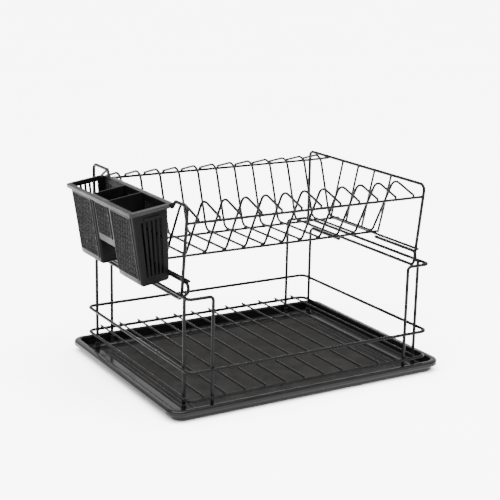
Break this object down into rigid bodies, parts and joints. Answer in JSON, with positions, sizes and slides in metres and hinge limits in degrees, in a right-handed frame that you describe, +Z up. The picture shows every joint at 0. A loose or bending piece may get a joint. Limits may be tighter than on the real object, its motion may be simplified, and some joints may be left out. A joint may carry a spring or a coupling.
{
  "type": "dish drying rack",
  "caption": "Two-tier wire dish rack with plate dividers, a lower shelf, a drip tray and a hanging cutlery basket.",
  "frame": {"origin": "centre of the drip tray on the surface it stands on", "axes": "+Z up, X along the rack's long side with the cutlery basket at -X, -Y towards the front"},
  "size_m": [0.4958, 0.361, 0.3044],
  "materials": {
    "coated_wire": "gloss black coating",
    "tray_plastic": "satin rim and a fine matte floor",
    "basket_plastic": "satin moulded plastic",
    "cap_plastic": "matte moulded plastic"
  },
  "bodies": {
    "tray": {"drip_tray": "tray_plastic"},
    "lower_rack": {"foot_cap_01": "cap_plastic", "foot_cap_02": "cap_plastic", "foot_cap_03": "cap_plastic", "foot_cap_04": "cap_plastic", "foot_cap_05": "cap_plastic", "foot_cap_06": "cap_plastic", "foot_cap_07": "cap_plastic", "foot_cap_08": "cap_plastic", "front_post_left": "coated_wire", "front_post_right": "coated_wire", "lower_cross_wire_01": "coated_wire", "lower_cross_wire_02": "coated_wire", "lower_cross_wire_03": "coated_wire", "lower_cross_wire_04": "coated_wire", "lower_cross_wire_05": "coated_wire", "lower_cross_wire_06": "coated_wire", "lower_cross_wire_07": "coated_wire", "lower_cross_wire_08": "coated_wire", "lower_cross_wire_09": "coated_wire", "lower_cross_wire_10": "coated_wire", "lower_cross_wire_11": "coated_wire", "lower_cross_wire_12": "coated_wire", "lower_guard_rail": "coated_wire", "lower_rim_loop": "coated_wire", "rear_post_left": "coated_wire", "rear_post_right": "coated_wire", "shoulder_frame_left": "coated_wire", "shoulder_frame_right": "coated_wire"},
    "upper_rack": {"back_floor_rail": "coated_wire", "back_top_rail": "coated_wire", "end_frame_left": "coated_wire", "end_frame_right": "coated_wire", "front_floor_rail": "coated_wire", "front_top_rail": "coated_wire", "plate_divider_01": "coated_wire", "plate_divider_02": "coated_wire", "plate_divider_03": "coated_wire", "plate_divider_04": "coated_wire", "plate_divider_05": "coated_wire", "plate_divider_06": "coated_wire", "plate_divider_07": "coated_wire", "plate_divider_08": "coated_wire", "plate_divider_09": "coated_wire", "plate_divider_10": "coated_wire", "plate_divider_11": "coated_wire", "plate_divider_12": "coated_wire", "side_rail_left": "coated_wire", "side_rail_right": "coated_wire", "side_wire_01": "coated_wire", "side_wire_02": "coated_wire", "side_wire_03": "coated_wire", "side_wire_04": "coated_wire"},
    "basket": {"cutlery_basket": "basket_plastic"}
  },
  "joints": [
    {"name": "lower_rack_lift", "type": "slide", "parent": "tray", "child": "lower_rack", "axis": [0, 0, 1], "range_m": [0, 0.06]},
    {"name": "upper_rack_lift", "type": "slide", "parent": "lower_rack", "child": "upper_rack", "axis": [0, 0, 1], "range_m": [0, 0.08]},
    {"name": "basket_lift", "type": "slide", "parent": "upper_rack", "child": "basket", "axis": [-0.0976, 0, 0.9952], "range_m": [0, 0.14]}
  ]
}
